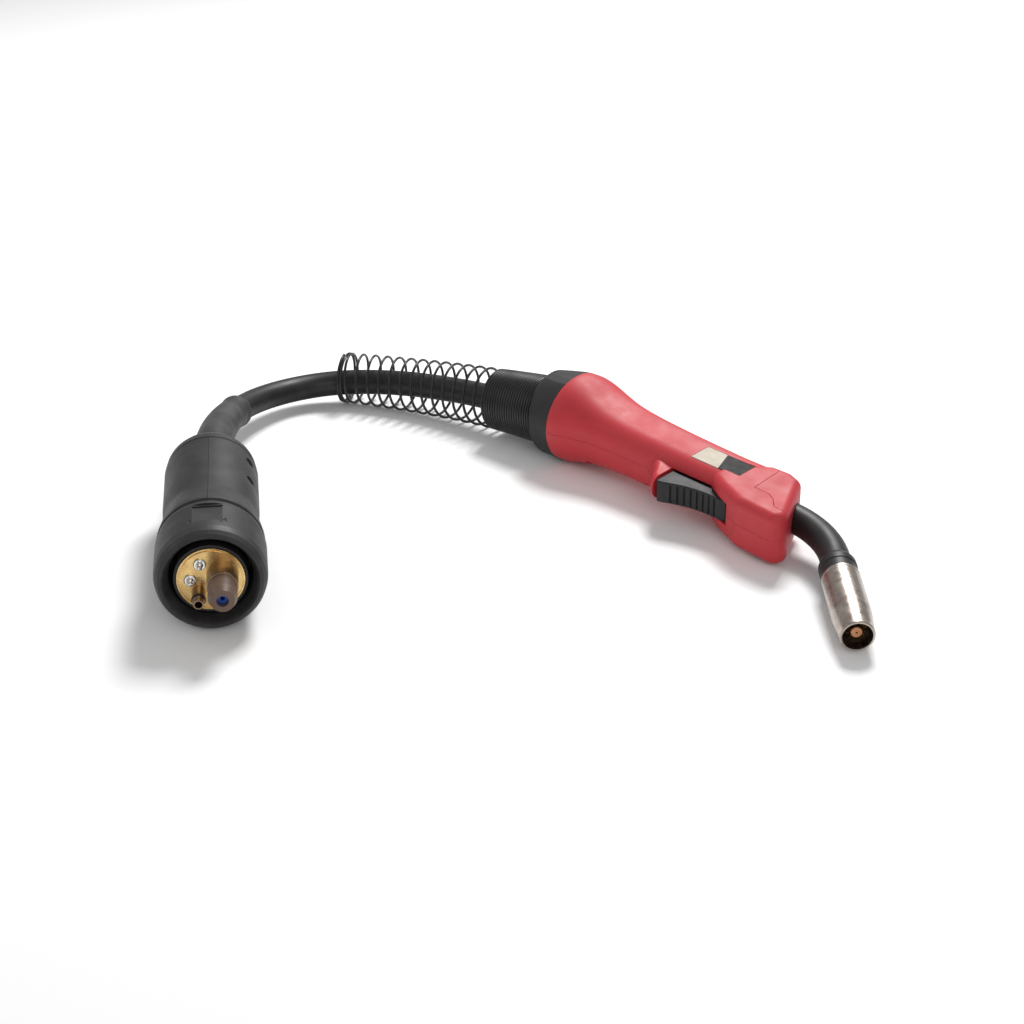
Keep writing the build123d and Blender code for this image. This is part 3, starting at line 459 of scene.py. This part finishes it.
# ------------------------------------------------------------------ cable boot
# (distance from the cable's connector end, radius) in millimetres
BOOT_PROFILE = [
    (3.4, 7.7),
    (3.4, 12.6),
    (3.9, 13.1),
    (6.4, 13.1),
    (6.9, 12.6),
    (7.4, 11.6),
    (14.0, 11.6),
    (26.0, 11.2),
    (40.0, 10.7),
    (55.0, 10.2),
    (70.0, 9.7),
    (84.0, 9.25),
    (95.0, 8.95),
    (97.2, 9.0),
    (98.4, 9.45),
    (99.6, 9.6),
    (101.0, 9.5),
    (101.9, 9.0),
    (102.2, 8.2),
    (101.8, 7.6),
]
BOOT_STEP = 2.0
BOOT_SIDES = 48


def boot_stations():
    """Rings along the cable, with enough of them between profile points to follow its bends."""
    rows = []
    for (a, ra), (b, rb) in zip(BOOT_PROFILE, BOOT_PROFILE[1:]):
        steps = max(1, round(abs(b - a) / BOOT_STEP))
        rows += [(a + (b - a) * k / steps, ra + (rb - ra) * k / steps) for k in range(steps)]
    rows.append(BOOT_PROFILE[-1])
    made = []
    for distance, radius in rows:
        at = cable_line.length - distance * MM
        first, second = across(cable_line.heading(at))
        made.append((cable_line.place(at), first, second, radius * MM))
    return made


boot = swept("boot", boot_stations(), BOOT_SIDES)
dress(boot, boot_rubber)
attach(boot, ROOT)
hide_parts("cable_boot")

# ------------------------------------------------------------------ support spring
# The spring's axis is one cubic curve from its free end to the rear collar, in millimetres.
SPRING_START = Vector((-265.0, -16.4, 16.1))
SPRING_PULL = Vector((-224.0, 7.6, 15.7))
SPRING_LEAD = Vector((-177.6, 16.9, 21.4))
SPRING_END = Vector((-127.2, 21.85, 24.3))
SPRING_WIRE = 0.8 * MM
END_COILS, OPEN_COILS, CLOSE_COILS = 3, 12, 21
END_PITCH, CLOSE_PITCH = 1.75, 1.9
SPRING_RADII = (14.6, 17.3, 19.4)  # at the free end, where the close coils start, at the collar
AXIS_STEPS = 400
TURN_STEPS = 40
WIRE_SIDES = 8


def spring_axis():
    """The spring's curved axis as a line of short steps."""
    places = []
    for k in range(AXIS_STEPS + 1):
        t = k / AXIS_STEPS
        pull = SPRING_PULL * (3 * t * (1 - t) ** 2) + SPRING_LEAD * (3 * t * t * (1 - t))
        places.append((SPRING_START * (1 - t) ** 3 + pull + SPRING_END * t**3) * MM)
    return Line(places)


def spring_wire():
    """The centre line of one continuous coil: close, open, then close again at the seat."""
    axis = spring_axis()
    length = axis.length / MM
    close_start = length - (CLOSE_COILS - 1) * CLOSE_PITCH
    end_length = (END_COILS - 1) * END_PITCH
    free, close, seat = SPRING_RADII
    turns = END_COILS + OPEN_COILS + CLOSE_COILS - 1
    # (turn, distance along the axis) where the pitch changes
    marks = [(0, 0.0), (END_COILS - 1, end_length), (END_COILS + OPEN_COILS, close_start), (turns, length)]
    points = []
    for k in range(turns * TURN_STEPS + 1):
        turn = k / TURN_STEPS
        leg = next(n for n in range(3) if turn <= marks[n + 1][0] or n == 2)
        (turn_a, at_a), (turn_b, at_b) = marks[leg], marks[leg + 1]
        at = at_a + (at_b - at_a) * (turn - turn_a) / (turn_b - turn_a)
        if at < close_start:
            radius = free + (close - free) * at / close_start
        else:
            radius = close + (seat - close) * (at - close_start) / (length - close_start)
        first, second = across(axis.heading(at * MM))
        angle = 2 * math.pi * turn
        place = axis.place(at * MM)
        points.append(place + (first * math.cos(angle) + second * math.sin(angle)) * radius * MM)
    return points


def wire_stations(points, radius):
    """Rings along a line of points, each one turned as little as can be from the one before."""
    stations = []
    for k, point in enumerate(points):
        heading = (points[min(k + 1, len(points) - 1)] - points[max(k - 1, 0)]).normalized()
        if k == 0:
            first, second = across(heading)
        else:
            first = (first - heading * first.dot(heading)).normalized()
            second = heading.cross(first)
        stations.append((point, first, second, radius))
    return stations


spring = swept("spring", wire_stations(spring_wire(), SPRING_WIRE), WIRE_SIDES)
dress(spring, spring_coat)
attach(spring, ROOT)
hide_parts("support_spring")

# ------------------------------------------------------------------ floor and light
FLOOR_HALF = 3.0
FLOOR_CORNERS = [
    Vector((x * FLOOR_HALF, y * FLOOR_HALF, 0)) for x, y in ((-1, -1), (1, -1), (1, 1), (-1, 1))
]
floor = mesh_piece("floor", FLOOR_CORNERS, [(0, 1, 2, 3)], smooth=False)
floor_surface = Surface("floor_paper")
floor_surface.set(Base_Color=(0.97, 0.97, 0.97, 1.0), Roughness=0.9, Specular_IOR_Level=0.1)
dress(floor, floor_surface)


def area_light(name, place, target, width, height, power):
    """A rectangular lamp at a place, turned to a target."""
    light = bpy.data.lights.new(name, "AREA")
    light.energy = power
    light.shape = "RECTANGLE"
    light.size = width
    light.size_y = height
    lamp = bpy.data.objects.new(name, light)
    lamp.location = place
    lamp.rotation_euler = (Vector(target) - Vector(place)).to_track_quat("-Z", "Y").to_euler()
    bpy.context.collection.objects.link(lamp)


# The key stands behind the torch, so its shadows fall towards the camera.
area_light("key", (-0.5, 0.8, 1.2), (-0.05, -0.05, 0.0), width=0.5, height=0.5, power=24.0)
area_light("front", (1.3, -0.9, 1.0), (-0.05, -0.05, 0.03), width=1.2, height=0.8, power=6.0)
area_light("left", (-1.3, -1.0, 0.9), (-0.05, -0.05, 0.03), width=1.0, height=0.8, power=3.5)

WORLD_STRENGTH = 0.38
world = bpy.data.worlds.new("studio")
world.use_nodes = True
background = world.node_tree.nodes["Background"]
background.inputs["Color"].default_value = (1.0, 1.0, 1.0, 1.0)
background.inputs["Strength"].default_value = WORLD_STRENGTH
bpy.context.scene.world = world
bpy.context.scene.view_settings.view_transform = "Standard"
